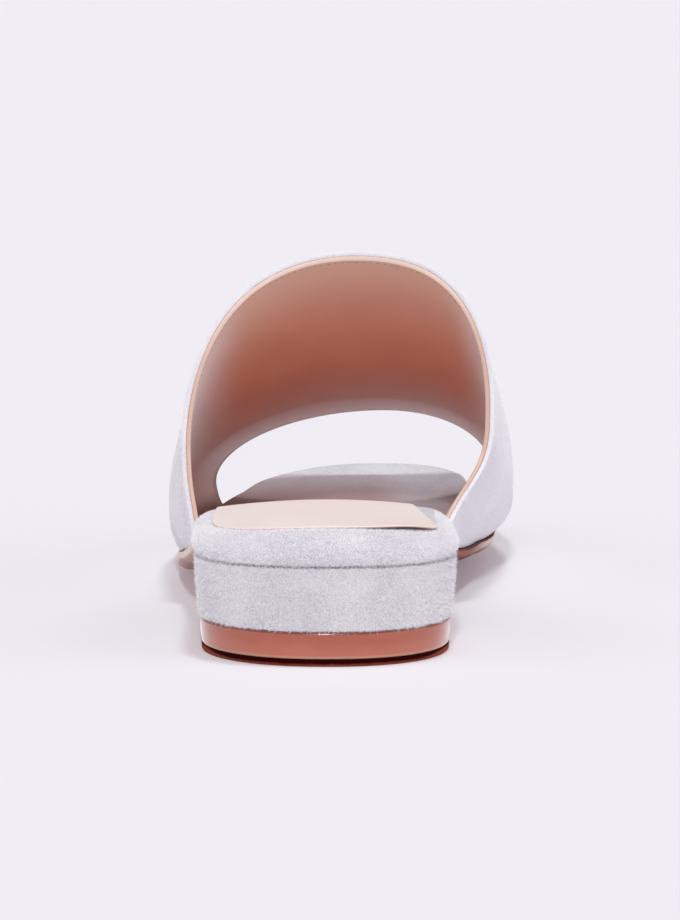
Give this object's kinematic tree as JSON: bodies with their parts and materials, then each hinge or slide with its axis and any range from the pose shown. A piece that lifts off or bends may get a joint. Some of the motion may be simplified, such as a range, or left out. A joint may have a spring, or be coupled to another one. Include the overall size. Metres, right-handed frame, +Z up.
{
  "type": "slide sandal",
  "caption": "Left slide sandal: one wide suede strap over the instep, open toe, padded footbed with a heel sock, leather sole and a low D-shaped block heel.",
  "frame": {"origin": "middle of the heel tip's underside, on the floor", "axes": "+Y to the toe, +X to the inner side of the foot, +Z up"},
  "size_m": [0.0931, 0.252, 0.0891],
  "materials": {
    "suede": "matt lilac-grey suede with a short nap",
    "lining_leather": "smooth matt peach lining leather",
    "stacked_leather": "polished red-brown leather",
    "sole_leather": "satin brown sole leather",
    "rubber": "dark matt rubber"
  },
  "bodies": {
    "root": {"heel_tip": "rubber", "top_lift": "stacked_leather", "heel_block": "suede", "outsole": "sole_leather", "footbed": "suede", "sock": "lining_leather", "upper": "suede"}
  },
  "joints": []
}
